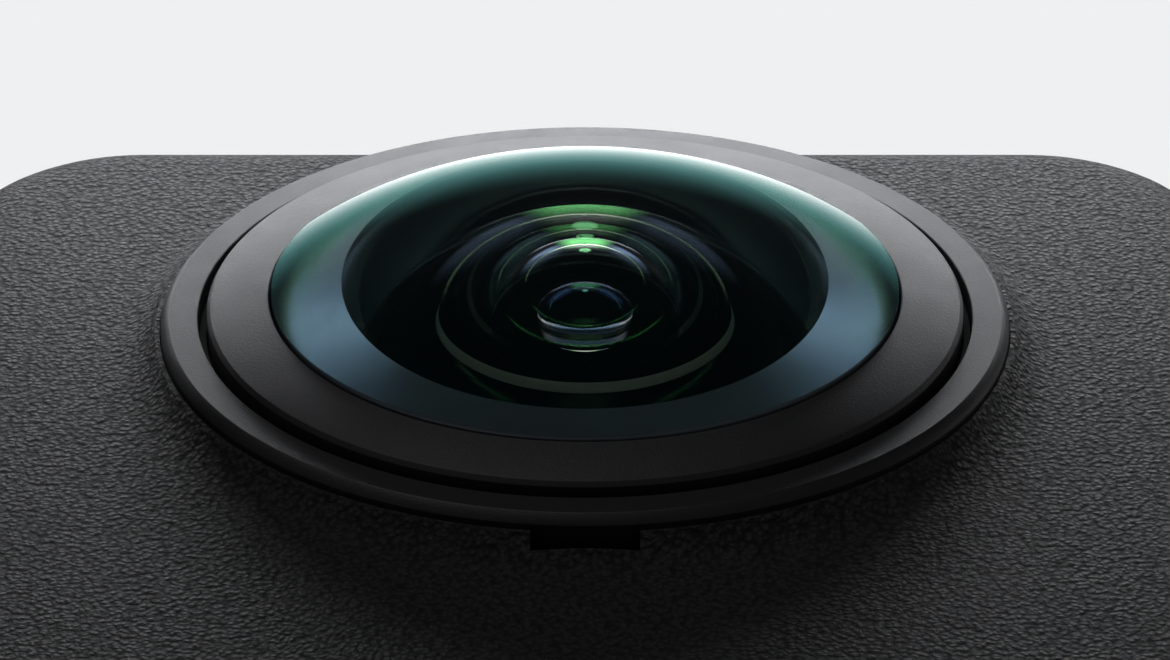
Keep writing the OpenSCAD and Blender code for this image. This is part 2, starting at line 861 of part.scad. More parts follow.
module sensor_board(rear) {
    color(board_colour) at_lens(rear) translate([-sensor_board_w / 2, -sensor_board_w / 2, board_foot_h])
        cube([sensor_board_w, sensor_board_w, board_t]);
}

// Display

module display_cover() {
    color(black_colour) translate([0, cover_foot_y + display_cover_t, display_mid_z]) rotate([90, 0, 0])
        linear_extrude(display_cover_t) rounded_rect(display_w, display_h, display_r);
}

module display_panel() {
    color(metal_colour) translate([0, cover_foot_y, display_mid_z]) rotate([90, 0, 0])
        linear_extrude(display_panel_t)
            rounded_rect(window_w - 2 * run, window_h - 2 * run, window_r - run);
}

// Controls

module shutter_button() {
    color(metal_colour) translate([0, 0, shutter_z]) rotate([90, 0, 0]) difference() {
        union() {
            rotate_extrude() {
                translate([0, shutter_back_y])
                    square([shutter_r, half_d + shutter_proud - shutter_round - shutter_back_y]);
                translate([0, shutter_back_y])
                    square([shutter_r - shutter_round, half_d + shutter_proud - shutter_back_y]);
                translate([shutter_r - shutter_round, half_d + shutter_proud - shutter_round])
                    circle(shutter_round);
            }
            disc(shutter_flange_r, shutter_back_y, shutter_back_y + shutter_flange_t);
            disc(shutter_stem_r, shutter_stem_y, shutter_back_y + cut);
        }
        ring(shutter_mark_r - shutter_mark_w, shutter_mark_r,
            half_d + shutter_proud - shutter_mark_t, half_d + shutter_proud + cut);
    }
}

module shutter_mark() {
    color(mark_colour) translate([0, 0, shutter_z]) rotate([90, 0, 0])
        ring(shutter_mark_r - shutter_mark_w, shutter_mark_r,
            half_d + shutter_proud - shutter_mark_t, half_d + shutter_proud);
}

module shutter_switch() {
    color(board_colour) translate([0, 0, shutter_z]) rotate([90, 0, 0]) {
        translate([-shutter_board_w / 2, -shutter_board_h / 2, bay_half_d])
            cube([shutter_board_w, shutter_board_h, board_t]);
        disc(shutter_switch_r, bay_half_d + board_t / 2, shutter_stem_y - shutter_travel - slack);
    }
}

module side_key(l, z) {
    color(metal_colour) mirror([1, 0, 0]) at_side() translate([0, z, 0]) rotate([0, 0, 90]) {
        translate([0, 0, -key_back_in]) linear_extrude(key_back_in + key_proud) pill(l, key_w);
        translate([0, 0, -key_back_in]) linear_extrude(key_flange_t)
            pill(l + 2 * key_flange_rim, key_w + 2 * key_flange_rim);
        disc(key_nub_r, -key_back_in - key_nub_l, -key_back_in + key_flange_t);
    }
}

module power_button() {
    side_key(power_l, power_z);
}

module quick_button() {
    side_key(quick_l, quick_z);
}

module side_key_board() {
    foot = quick_z - key_board_rim;
    color(board_colour) mirror([1, 0, 0]) at_side() {
        translate([-key_board_w / 2, foot, -key_board_in - board_t])
            cube([key_board_w, power_z + key_board_rim - foot, board_t]);
        for (z = [quick_z, power_z])
            translate([-key_switch_w / 2, z - key_switch_w / 2, -key_board_in - board_t / 2])
                cube([key_switch_w, key_switch_w, key_switch_h + board_t / 2]);
    }
}

module status_light() {
    color(light_colour) translate([0, 0, light_z]) rotate([90, 0, 0]) {
        translate([0, 0, inner_face_y - light_flange_t]) linear_extrude(wall + light_flange_t)
            pill(light_l, light_w);
        translate([0, 0, inner_face_y - light_flange_t]) linear_extrude(light_flange_t)
            pill(light_l + 2 * light_flange, light_w + 2 * light_flange);
    }
}

module microphones() {
    color(steel_colour) {
        for (s = [-1, 1]) translate([s * mic_x, 0, 0]) disc(mic_r, body_h - wall - mic_t, body_h - wall);
        translate([front_mic_x, 0, shutter_z]) rotate([90, 0, 0])
            disc(mic_r, inner_face_y - mic_t, inner_face_y);
    }
}

module speaker() {
    color(black_colour) at_side() translate([-speaker_w / 2, speaker_z - speaker_l / 2, -wall - speaker_t])
        cube([speaker_w, speaker_l, speaker_t]);
}

// Battery, its door and the card socket

module battery_pack() {
    color(metal_colour) translate([battery_x0, -battery_t / 2, battery_z0])
        cube([battery_l, battery_t, battery_h]);
}

module battery_contacts() {
    color(brass_colour) translate([bay_x0 - contact_out, -contact_w / 2, contact_z - contact_h / 2])
        cube([bay_wall + contact_out, contact_w, contact_h]);
}

module latch_window() {
    translate([-latch_w / 2 - run, latch_z0 - latch_gap, -latch_floor_in])
        cube([latch_w + 2 * run, latch_l + latch_travel + 2 * latch_gap, latch_floor_in + cut]);
    translate([-tongue_w / 2 - run, latch_z0, -latch_floor_in])
        cube([tongue_w + 2 * run, door_top + cut - latch_z0, latch_floor_in - tongue_out_in + run / 2]);
}

module battery_door() {
    color(shell_colour) at_side() difference() {
        door_form(door_w, door_t, door_hinge_z, door_foot, door_top, knuckle_r, knuckle_l);
        latch_window();
    }
}

module battery_door_pin() {
    color(steel_colour) at_side() hinge_rod(door_hinge_z, knuckle_r, pin_r, knuckle_l + 2 * ear_l);
}

module battery_door_seal() {
    w = door_w - 2 * seal_inset;
    h = door_top - door_foot - 2 * seal_inset;
    color(black_colour) at_side() translate([0, (door_foot + door_top) / 2, -door_t - seal_t])
        linear_extrude(seal_t) difference() {
            rounded_rect(w, h, door_r);
            rounded_rect(w - 2 * seal_w, h - 2 * seal_w, door_r - seal_w);
        }
}

module battery_latch() {
    back_in = latch_floor_in - latch_lift;
    thumb_t = back_in - latch_face_in;
    pitch = latch_l / (latch_ribs + 1);
    color(metal_colour) at_side() {
        translate([-latch_w / 2, latch_z0, -back_in]) cube([latch_w, latch_l, thumb_t]);
        translate([-tongue_w / 2, latch_z0 + latch_l / 2, -back_in])
            cube([tongue_w, door_top - latch_gap - latch_z0 - latch_l / 2, back_in - tongue_out_in]);
        for (k = [1 : latch_ribs])
            translate([-latch_w / 2 + latch_rib_inset, latch_z0 + k * pitch - latch_rib_w / 2, -back_in])
                cube([latch_w - 2 * latch_rib_inset, latch_rib_w, thumb_t + latch_rib_h]);
    }
}

module card_socket() {
    color(steel_colour) translate([bay_mouth_x - card_l, -card_w / 2, bay_z1]) difference() {
        cube([card_l, card_w, card_h]);
        translate([card_back, card_wall, card_wall])
            cube([card_l, card_w - 2 * card_wall, card_h - 2 * card_wall]);
    }
}

// Connector and its door

module connector_door() {
    color(shell_colour) mirror([1, 0, 0]) at_side() difference() {
        door_form(port_door_w, port_door_t, port_hinge_z, port_foot, port_top,
            port_knuckle_r, port_knuckle_l);
        translate([0, port_top, 0]) rotate([0, 90, 0])
            cylinder(r = grip_r / 2, h = 2 * grip_r, center = true);
    }
}

module connector_door_pin() {
    color(steel_colour) mirror([1, 0, 0]) at_side()
        hinge_rod(port_hinge_z, port_knuckle_r, pin_r, port_knuckle_l + 2 * ear_l);
}

module connector_socket() {
    hole_l = socket_l - 2 * socket_wall;
    hole_w = socket_w - 2 * socket_wall;
    color(steel_colour) mirror([1, 0, 0]) at_side()
        translate([0, port_z, -socket_mouth_in - socket_d]) rotate([0, 0, 90]) {
            difference() {
                linear_extrude(socket_d) pill(socket_l, socket_w);
                translate([0, 0, socket_back]) linear_extrude(socket_d) pill(hole_l, hole_w);
            }
            translate([-hole_l / 2 + socket_back, -socket_tongue_t / 2, socket_back / 2])
                cube([hole_l - 2 * socket_back, socket_tongue_t, socket_d - socket_back]);
        }
}

module connector_board() {
    left = -half_w + socket_mouth_in + connector_board_in;
    color(board_colour) translate([left, socket_w / 2, port_z - connector_board_h / 2])
        cube([bay_x0 - left, connector_board_t, connector_board_h]);
}

// Boards behind the display

module main_board() {
    color(board_colour) translate([-half_w + main_board_rim, bay_half_d, bay_z0])
        cube([body_w - 2 * main_board_rim, main_board_t, bay_z1 - bay_z0]);
}

module processor_shield() {
    left = -half_w + main_board_rim + shield_inset;
    w = bay_x0 - left - shield_inset;
    foot = bay_z0 + shield_rim;
    h = bay_z1 - bay_z0 - 2 * shield_rim;
    color(steel_colour) translate([left, bay_half_d - shield_t, foot]) difference() {
        cube([w, shield_t, h]);
        translate([shield_wall, shield_wall, shield_wall])
            cube([w - 2 * shield_wall, shield_t, h - 2 * shield_wall]);
    }
}

// Base fittings

module base_plate() {
    color(metal_colour) difference() {
        linear_extrude(base_t) rounded_rect(base_l, base_w, base_plate_r);
        disc(bush_r + fit, -cut, base_t + cut);
        for (sx = [-1, 1], sy = [-1, 1]) translate([sx * screw_x, sy * screw_y, 0]) {
            disc(screw_r + fit, -cut, base_t + cut);
            disc(screw_head_r + fit, -cut, screw_sunk + screw_head_t);
        }
    }
}

module tripod_bush() {
    color(brass_colour) difference() {
        union() {
            disc(bush_r, 0, thread_l + bush_crown);
            disc(bush_flange_r, base_t, base_t + bush_flange_t);
        }
        disc(thread_r, -cut, thread_l);
    }
}

module base_magnets() {
    color(steel_colour) for (s = [-1, 1]) translate([s * magnet_x, 0, 0])
        disc(magnet_r, base_t, base_t + magnet_t);
}

module base_screws() {
    color(steel_colour) for (sx = [-1, 1], sy = [-1, 1]) translate([sx * screw_x, sy * screw_y, 0])
        difference() {
            union() {
                disc(screw_head_r, screw_sunk, screw_sunk + screw_head_t);
                disc(screw_r, screw_sunk, screw_sunk + screw_head_t + screw_l);
            }
            translate([0, 0, screw_sunk - cut])
                cylinder(r = screw_socket_r, h = cut + screw_socket_l, $fn = 6);
        }
}

front_shell();
rear_shell();
shell_seal();
heat_spreader();
battery_bay();
trim_ring(false);  // front_trim_ring
bezel(false);  // front_bezel
ring_seal(false);  // front_ring_seal
dome_lens(false);  // front_dome_lens
seat_ring(false);  // front_seat_ring
lens_barrel(false);  // front_lens_barrel
second_lens(false);  // front_second_lens
second_cell(false);  // front_second_cell
gate(false);  // front_gate
inner_lens(false);  // front_inner_lens
rear_lens(false);  // front_rear_lens
sensor(false);  // front_sensor
sensor_board(false);  // front_sensor_board
trim_ring(true);  // rear_trim_ring
bezel(true);  // rear_bezel
ring_seal(true);  // rear_ring_seal
dome_lens(true);  // rear_dome_lens
seat_ring(true);  // rear_seat_ring
lens_barrel(true);  // rear_lens_barrel
second_lens(true);  // rear_second_lens
second_cell(true);  // rear_second_cell
gate(true);  // rear_gate
inner_lens(true);  // rear_inner_lens
rear_lens(true);  // rear_rear_lens
sensor(true);  // rear_sensor
sensor_board(true);  // rear_sensor_board
display_cover();
display_panel();
shutter_button();
shutter_mark();
shutter_switch();
power_button();
quick_button();
side_key_board();
status_light();
microphones();
speaker();
battery_pack();
battery_door();
battery_door_pin();
battery_door_seal();
battery_latch();
battery_contacts();
card_socket();
connector_door();
connector_door_pin();
connector_socket();
connector_board();
main_board();
processor_shield();
base_plate();
tripod_bush();
base_magnets();
base_screws();
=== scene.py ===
"""Looks of a compact two-lens 360 degree camera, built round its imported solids. Metres, +Z up."""
import math

import bmesh
import bpy
from mathutils import Matrix, Vector


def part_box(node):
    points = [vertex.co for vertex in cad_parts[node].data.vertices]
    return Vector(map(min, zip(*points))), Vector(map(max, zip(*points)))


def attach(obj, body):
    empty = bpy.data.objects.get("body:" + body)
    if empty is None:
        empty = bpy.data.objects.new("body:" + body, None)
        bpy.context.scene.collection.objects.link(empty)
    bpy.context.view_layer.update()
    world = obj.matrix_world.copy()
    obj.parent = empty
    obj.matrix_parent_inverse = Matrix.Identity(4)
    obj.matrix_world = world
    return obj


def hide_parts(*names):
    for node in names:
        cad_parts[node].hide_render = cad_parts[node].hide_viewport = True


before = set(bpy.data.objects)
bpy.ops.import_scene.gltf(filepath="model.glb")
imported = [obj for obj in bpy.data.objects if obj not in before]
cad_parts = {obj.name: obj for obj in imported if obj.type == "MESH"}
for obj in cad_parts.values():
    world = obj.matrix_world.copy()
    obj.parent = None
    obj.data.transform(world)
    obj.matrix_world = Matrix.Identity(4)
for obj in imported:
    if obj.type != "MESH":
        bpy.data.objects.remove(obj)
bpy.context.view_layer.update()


# Shells: a front and a rear half, injection moulded in black polymer with a fine leather grain in the mould.
# The rear half closes on the front one over a silicone seal, and the lens rings drop into their collars.

mm = 0.001
grain_size = 0.27 * mm
grain_depth = 0.19 * mm
# The crease tone is painted shade in the grain's creases, and the pebble tone is painted light on its
# pebbles.
shaded_crease_tone = (0.016, 0.0162, 0.017)
lit_pebble_tone = (0.055, 0.0555, 0.058)
polymer_roughness = 0.52


def finish(name, colour, roughness, metallic=0.0, **more):
    """A principled finish with even values, ready for the nodes that vary it."""
    made = bpy.data.materials.new(name)
    made.use_nodes = True
    shader = made.node_tree.nodes["Principled BSDF"]
    even = {"Base Color": (*colour, 1), "Roughness": roughness, "Metallic": metallic, **more}
    for socket, value in even.items():
        shader.inputs[socket].default_value = value
    return made


def add(made, kind, inputs, **settings):
    """A node of a finish, with each input set to a value or joined to another node's output."""
    node = made.node_tree.nodes.new("ShaderNode" + kind)
    for setting, value in settings.items():
        setattr(node, setting, value)
    for socket, value in inputs.items():
        if isinstance(value, bpy.types.NodeSocket):
            made.node_tree.links.new(value, node.inputs[socket])
        else:
            node.inputs[socket].default_value = value
    return node


def place_on(made):
    """The object's own coordinates, which every pattern of a finish follows."""
    return add(made, "TexCoord", {}).outputs["Object"]


def spread(made, value, low, high, start=0.0, end=1.0):
    """A value between start and end, moved to the range from low to high."""
    return add(made, "MapRange", {"Value": value, "From Min": start, "From Max": end, "To Min": low,
                                  "To Max": high}).outputs[0]


def drive(made, **outputs):
    """Joins outputs to the principled sockets of those names, with _ for a space."""
    shader = made.node_tree.nodes["Principled BSDF"]
    for socket, output in outputs.items():
        made.node_tree.links.new(output, shader.inputs[socket.replace("_", " ")])


def dress(made, *names):
    """Gives a finish to CAD nodes that stay as they are."""
    for name in names:
        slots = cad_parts[name].material_slots
        if not slots:
            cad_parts[name].data.materials.append(made)
        for held in slots:
            held.material = made


def grained(name, dark, pale, grain, depth, roughness):
    """Moulded polymer with a close leather grain: painted shade darkens its creases and painted light pales
    its pebbles.
    """
    made = finish(name, dark, roughness, **{"Specular IOR Level": 0.25})
    place = place_on(made)
    warp = add(made, "TexNoise", {"Vector": place, "Scale": 0.6 / grain, "Detail": 2.0})
    bent = add(made, "VectorMath", {0: warp.outputs["Color"], 1: (grain * 0.9,) * 3, 2: place},
               operation="MULTIPLY_ADD").outputs[0]
    pebbles = add(made, "TexVoronoi", {"Vector": bent, "Scale": 1 / grain, "Smoothness": 0.55},
                  feature="SMOOTH_F1")
    creases = add(made, "TexNoise", {"Vector": bent, "Scale": 2.4 / grain, "Detail": 4.0, "Roughness": 0.62})
    skin = add(made, "Math", {0: creases.outputs["Fac"], 1: 0.6, 2: pebbles.outputs["Distance"]},
               operation="MULTIPLY_ADD").outputs[0]
    relief = add(made, "Bump", {"Height": skin, "Distance": depth, "Strength": 1.0}, invert=True)
    pebble, crease = 0.35, 1.0
    # The colour follows the grain's height, as painted shade in the creases and painted light on the pebbles.
    tone = add(made, "ValToRGB", {"Fac": skin})
    for stop, position, colour in zip(tone.color_ramp.elements, (pebble, crease), (pale, dark)):
        stop.position = position
        stop.color = (*colour, 1)
    shine = spread(made, skin, roughness - 0.06, roughness + 0.16, pebble, crease)
    drive(made, Base_Color=tone.outputs["Color"], Roughness=shine, Normal=relief.outputs["Normal"])
    return made


polymer = grained("grained_polymer", shaded_crease_tone, lit_pebble_tone, grain_size, grain_depth, polymer_roughness)
dress(polymer, "front_shell", "rear_shell", "battery_door", "connector_door")


# Seals: thin black silicone cords and rings, squeezed between the shells, under the lens rings
# and behind the battery door. Their matt skin holds a little dust.

def mottled(name, colour, gloss, scale, detail=2.0, metallic=0.0, **more):
    """A finish whose roughness wavers between two values by a fine mottle."""
    low, high = gloss
    made = finish(name, colour, (low + high) / 2, metallic, **more)
    mottle = add(made, "TexNoise", {"Vector": place_on(made), "Scale": scale, "Detail": detail})
    drive(made, Roughness=spread(made, mottle.outputs["Fac"], low, high))
    return made


silicone = mottled("silicone", (0.012, 0.012, 0.012), (0.6, 0.9), 1800.0, 3.0)
dress(silicone, "shell_seal", "front_ring_seal", "rear_ring_seal", "battery_door_seal")


# Trim ring: a turned aluminium ring with a chamfered rim, fine blasted and anodised dark grey.
# It sits in the shell's collar and leaves a narrow black groove round the bezel.

lens_axis_z = 59.2 * mm
glass_edge_y = 14.35 * mm
turns = 224
crease_angle = math.radians(25)
trim_bore = 17.04
trim_rim = 18.69
trim_foot = -2.6
trim_top = -1.1
trim_chamfer_w = 0.39
trim_chamfer_h = 0.42
trim_ease = 0.03
trim_bore_ease = 0.04


def turned(name, face, start, *cuts, closed=True):
    """A piece turned on the lens axis. The profile starts at (radius, height) in mm above the glass edge,
    then has straight cuts (radius, height) or round ones (centre radius, centre height, degrees, steps)."""
    work = bmesh.new()
    first = tip = work.verts.new((start[0] * mm, 0, start[1] * mm))
    for cut in cuts:
        if len(cut) == 2:
            tip = bmesh.ops.extrude_vert_indiv(work, verts=[tip])["verts"][0]
            tip.co = (cut[0] * mm, 0, cut[1] * mm)
        else:
            radius, height, angle, steps = cut
            swept = bmesh.ops.spin(work, geom=[tip], cent=(radius * mm, 0, height * mm), axis=(0, 1, 0),
                                   angle=math.radians(angle), steps=steps)
            tip = next(part for part in swept["geom_last"] if isinstance(part, bmesh.types.BMVert))
    if closed:
        work.edges.new((tip, first))
    bmesh.ops.spin(work, geom=work.verts[:] + work.edges[:], cent=(0, 0, 0), axis=(0, 0, 1),
                   angle=2 * math.pi, steps=turns, use_merge=True)
    bmesh.ops.remove_doubles(work, verts=work.verts, dist=1e-7)
    bmesh.ops.recalc_face_normals(work, faces=work.faces)
    for side in work.faces:
        side.smooth = True
    for edge in work.edges:
        edge.smooth = edge.calc_face_angle(0) < crease_angle
    return seated(work, name, face)


def seated(work, name, face):
    """Puts a piece that was made on the lens's own axis into the front or rear lens."""
    turn = Matrix.Rotation(math.pi if face == "rear" else 0, 4, "Z")
    seat = turn @ Matrix.Translation((0, -glass_edge_y, lens_axis_z)) @ Matrix.Rotation(math.pi / 2, 4, "X")
    bmesh.ops.transform(work, matrix=seat, verts=work.verts)
    mesh = bpy.data.meshes.new(name)
    work.to_mesh(mesh)
    work.free()
    piece = bpy.data.objects.new(name, mesh)
    bpy.context.scene.collection.objects.link(piece)
    return piece


def stand_in(piece, node):
    """Puts a piece in the place of a CAD node of the camera's body, which it hides, and hangs the piece on
    the body.
    """
    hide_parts(node)
    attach(piece, "camera_body")


def blasted(name, colour, roughness, speck):
    """Anodised aluminium with a fine bead-blasted skin, whose colour carries painted shade in its pits and
    painted light on its specks.
    """
    made = finish(name, colour, roughness, 0.85)
    place = place_on(made)
    beads = add(made, "TexNoise", {"Vector": place, "Scale": 1 / speck, "Detail": 2.0, "Roughness": 0.7})
    cloud = add(made, "TexNoise", {"Vector": place, "Scale": 0.06 / speck, "Detail": 3.0})
    relief = add(made, "Bump", {"Height": beads.outputs["Fac"], "Distance": speck * 0.16, "Strength": 1.0})
    # Painted shade: the colour follows the bump, darker in the pits and paler on the raised specks.
    painted_pit_shade, painted_speck_light = [(*[part * share for part in colour], 1) for share in (0.75, 1.25)]
    shade = add(made, "MixRGB", {"Fac": beads.outputs["Fac"], "Color1": painted_pit_shade, "Color2": painted_speck_light})
    shine = spread(made, cloud.outputs["Fac"], roughness - 0.05, roughness + 0.05)
    drive(made, Base_Color=shade.outputs[0], Roughness=shine, Normal=relief.outputs["Normal"])
    return made


trim_skin = blasted("trim_anodised", (0.06, 0.06, 0.063), 0.5, 0.09 * mm)
for face in ("front", "rear"):
    trim = turned(face + "_trim", face, (trim_bore, trim_foot), (trim_rim, trim_foot),
                  (trim_rim, trim_top - trim_chamfer_h),
                  (trim_rim - trim_ease, trim_top - trim_chamfer_h + 2 * trim_ease),
                  (trim_rim - trim_chamfer_w + 2 * trim_ease, trim_top - trim_ease),
                  (trim_rim - trim_chamfer_w, trim_top),
                  (trim_bore + trim_bore_ease, trim_top), (trim_bore, trim_top - trim_bore_ease))
    trim.data.materials.append(trim_skin)
    stand_in(trim, face + "_trim_ring")


# Bezel: a broad turned cone of the same dark anodised aluminium, coarser blasted, that clamps the dome glass.
# Its outer corner is chamfered and a hair gap runs between it and the glass.

bezel_bore = 13.9
bezel_rim = 16.64
bezel_foot = -2.45
bezel_edge_h = -0.645
bezel_lip_h = -0.21
bezel_chamfer_w = 0.22
bezel_chamfer_h = 0.225
bezel_ease_w = 0.03
bezel_ease_h = 0.05
bezel_lip_ease = 0.04

bezel_skin = blasted("bezel_anodised", (0.066, 0.066, 0.069), 0.55, 0.11 * mm)
for face in ("front", "rear"):
    bezel = turned(face + "_bezel_ring", face, (bezel_bore, bezel_foot), (bezel_rim, bezel_foot),
                   (bezel_rim, bezel_edge_h - bezel_chamfer_h),
                   (bezel_rim - bezel_ease_w, bezel_edge_h - bezel_chamfer_h + bezel_ease_h),
                   (bezel_rim - bezel_chamfer_w + 2 * bezel_ease_w, bezel_edge_h - bezel_ease_h / 2),
                   (bezel_rim - bezel_chamfer_w, bezel_edge_h),
                   (bezel_bore + 2 * bezel_ease_w, bezel_lip_h), (bezel_bore, bezel_lip_h - bezel_lip_ease))
    bezel.data.materials.append(bezel_skin)
    stand_in(bezel, face + "_bezel")


# Dome lens: a ground and polished meniscus of coated optical glass that covers more than half a turn of view.
# Its edge and flat shoulder carry a pale satin lacquer over fine turned grooves, whose tilt the bump stands
# for, and the bezel clamps it on the seat ring.

glass_r = 13.8
dome_top = 3.793
dome_curve = 27
shoulder_h = -1.93
hollow_mouth = 9.783
hollow_top = 2.493
hollow_curve = 13.03
dome_steps = 72
hollow_steps = 64
hair = 0.01
groove_tilt = 0.55


def coated_glass(name, tint, index):
    """Polished optical glass whose coating gives its reflections a colour."""
    made = finish(name, (0.97, 0.99, 0.985), 0.0, 0.0,
                  **{"Transmission Weight": 1.0, "IOR": index, "Specular Tint": (*tint, 1)})
    wipe = add(made, "TexNoise", {"Vector": place_on(made), "Scale": 160.0, "Detail": 4.0})
    drive(made, Roughness=spread(made, wipe.outputs["Fac"], 0.0, 0.012, 0.45, 0.8))
    return made


def sweep(radius, curve):
    """How many degrees a round cut turns on its way from the axis out to a radius."""
    return math.degrees(math.asin(radius / curve))


def zones(piece, chosen, *finishes):
    """Gives a piece several finishes, with each face's one chosen from its radius and height in mm."""
    for made in finishes:
        piece.data.materials.append(made)
    for side in piece.data.polygons:
        side.material_index = chosen(math.hypot(side.center.x, side.center.z - lens_axis_z) / mm,
                                     (abs(side.center.y) - glass_edge_y) / mm)


def dome_zone(radius, height):
    """The outer glass, the hollow's glass or the lacquered edge and shoulder."""
    if math.hypot(radius, height - hollow_top + hollow_curve) < hollow_curve + hair:
        return 1
    return 2 if height < 0 else 0


dome_glass = coated_glass("dome_glass", (0.3, 0.95, 0.9), 1.6)
hollow_glass = coated_glass("hollow_glass", (0.04, 0.1, 0.06), 1.6)
edge_lacquer = mottled("edge_lacquer", (0.78, 0.9, 1.0), (0.2, 0.28), 900.0, 3.0, 0.9)
off_axis = add(edge_lacquer, "Mapping", {"Vector": place_on(edge_lacquer), "Location": (0, 0, -lens_axis_z),
                                         "Scale": (1, 0, 1)}).outputs[0]
off_axis = add(edge_lacquer, "VectorMath", {0: off_axis}, operation="LENGTH").outputs["Value"]
grooves = add(edge_lacquer, "Bump", {"Height": off_axis, "Distance": groove_tilt}, invert=True)
drive(edge_lacquer, Normal=grooves.outputs["Normal"])
for face in ("front", "rear"):
    dome = turned(face + "_dome", face, (0, dome_top),
                  (0, dome_top - dome_curve, sweep(glass_r, dome_curve), dome_steps),
                  (glass_r, shoulder_h), (hollow_mouth, shoulder_h),
                  (0, hollow_top - hollow_curve, -sweep(hollow_mouth, hollow_curve), hollow_steps),
                  closed=False)
    zones(dome, dome_zone, dome_glass, hollow_glass, edge_lacquer)
    stand_in(dome, face + "_dome_lens")


# Seat ring: a thin spacer of satin black polymer between the dome's shoulder and the barrel's flange.
# The bezel's clamp on the dome holds it down.

seat_satin = mottled("seat_satin", (0.02, 0.022, 0.026), (0.32, 0.44), 1200.0, 3.0)
dress(seat_satin, "front_seat_ring", "rear_seat_ring")


# Barrel and gate: a black moulded cup and tube that holds all the lens elements on one axis, dead black
# inside. The gate is a thin blackened plate with an oblong window between the inner and the rear lens.

soot = (0.004, 0.004, 0.0045)
soot_gloss = (0.65, 0.85)
soot_sheen = {"Specular IOR Level": 0.03}
dead_black = mottled("dead_black", soot, soot_gloss, 3000.0, 3.0, **soot_sheen)
dress(dead_black, "front_lens_barrel", "rear_lens_barrel", "front_gate", "rear_gate")


# Second lens in its cell: a deep polished meniscus that stands up into the dome, with a pale ground rim.
# Its edge and flat back are painted black, and a thin blackened ring holds it in the cup.

second_r = 7.2
second_polish_r = 7.0
second_top = 1.793
second_curve = 7.636
second_rim_h = -3.3
second_foot = -4.59
well_mouth = 4.9
well_top = -0.107
well_curve = 4.919
second_steps = 56
well_steps = 48
cell_bore = 7.26
cell_r = 7.96
cell_foot = -4.6
cell_top = -3.8
cell_chamfer = 0.05


def second_zone(radius, height):
    """The polished glass, the painted edge and back or the ground rim."""
    in_well = math.hypot(radius, height - well_top + well_curve) < well_curve + hair
    if in_well and height > second_foot + hair:
        return 0
    if height < second_rim_h - hair:
        return 1
    return 2 if radius > second_polish_r + hair else 0


second_glass = coated_glass("second_glass", (0.1, 0.35, 0.13), 1.7)
back_paint = mottled("back_paint", soot, soot_gloss, 700.0, 3.0, **soot_sheen)
ground_rim = mottled("ground_rim", (0.9, 1.0, 0.9), (0.5, 0.7), 5000.0, 3.0)
for face in ("front", "rear"):
    second = turned(face + "_second", face, (0, second_top),
                    (0, second_top - second_curve, sweep(second_polish_r, second_curve), second_steps),
                    (second_r, second_rim_h), (second_r, second_foot), (well_mouth, second_foot),
                    (0, well_top - well_curve, -sweep(well_mouth, well_curve), well_steps), closed=False)
    zones(second, second_zone, second_glass, back_paint, ground_rim)
    stand_in(second, face + "_second_lens")
    cell = turned(face + "_cell", face, (cell_bore, cell_foot), (cell_r, cell_foot),
                  (cell_r, cell_top - cell_chamfer), (cell_r - cell_chamfer, cell_top),
                  (cell_bore + cell_chamfer, cell_top), (cell_bore, cell_top - cell_chamfer))
    cell.data.materials.append(back_paint)
    stand_in(cell, face + "_second_cell")


# Inner and rear lenses: a tall round tipped element that stands in the second lens's hollow, and a thin one
# behind the gate. Both are polished and coated. Only the bevel at the inner one's foot is ground pale, and
# its flat back has a blue coating.

inner_r = 2.4
inner_top = -2.4
inner_curve = 3.65
inner_foot = -6
bevel_w = 0.15
bevel_h = 0.25
last_top = -6.45
last_curve = 6
last_foot = -7.351
inner_steps = 32
last_steps = 24


def inner_zone(radius, height):
    """The polished tip and wall, the ground bevel or the coated back."""
    if height > inner_foot + bevel_h:
        return 0
    return 1 if height > inner_foot + hair else 2


inner_glass = coated_glass("inner_glass", (0.2, 0.5, 1.0), 1.75)
rear_glass = coated_glass("rear_glass", (0.3, 1.0, 0.5), 1.75)
core_glass = coated_glass("core_glass", (0.05, 0.45, 1.0), 1.9)
ground_wall = mottled("ground_wall", (0.8, 0.85, 0.85), (0.42, 0.58), 5000.0, 3.0)
for face in ("front", "rear"):
    inner = turned(face + "_inner", face, (0, inner_top),
                   (0, inner_top - inner_curve, sweep(inner_r, inner_curve), inner_steps),
                   (inner_r, inner_foot + bevel_h), (inner_r - bevel_w, inner_foot), (0, inner_foot),
                   closed=False)
    zones(inner, inner_zone, inner_glass, ground_wall, core_glass)
    stand_in(inner, face + "_inner_lens")
    last = turned(face + "_last", face, (0, last_top),
                  (0, last_top - last_curve, sweep(inner_r, last_curve), last_steps),
                  (inner_r, last_foot), (0, last_foot), closed=False)
    last.data.materials.append(rear_glass)
    stand_in(last, face + "_rear_lens")


# Sensors: square image sensors behind a glossy window, soldered on small boards.
# The boards stand back to back on the heat spreader, one behind each lens.

sensor_face = mottled("sensor_face", (0.02, 0.05, 0.08), (0.08, 0.2), 4000.0)
dress(sensor_face, "front_sensor", "rear_sensor")


# Boards: etched sheets with green solder mask over copper runs, which show as faint paler lines.
# They carry the sensors, the switches, the connector and the processor.

mask_tone = (0.012, 0.06, 0.035)
paler_mask_tone = (0.014, 0.07, 0.04)
run_tone = (0.03, 0.12, 0.07)

board_green = finish("board_green", mask_tone, 0.35)
runs = add(board_green, "TexBrick", {"Vector": place_on(board_green), "Scale": 420.0, "Mortar Size": 0.03,
                                     "Color1": (*mask_tone, 1), "Color2": (*paler_mask_tone, 1),
                                     "Mortar": (*run_tone, 1)})
drive(board_green, Base_Color=runs.outputs["Color"])
dress(board_green, "front_sensor_board", "rear_sensor_board", "shutter_switch", "side_key_board",
      "connector_board", "main_board")


# Spreader: a plain rolled aluminium sheet between the two sensor boards that carries their heat away.
# Rolling left fine lines along its length.

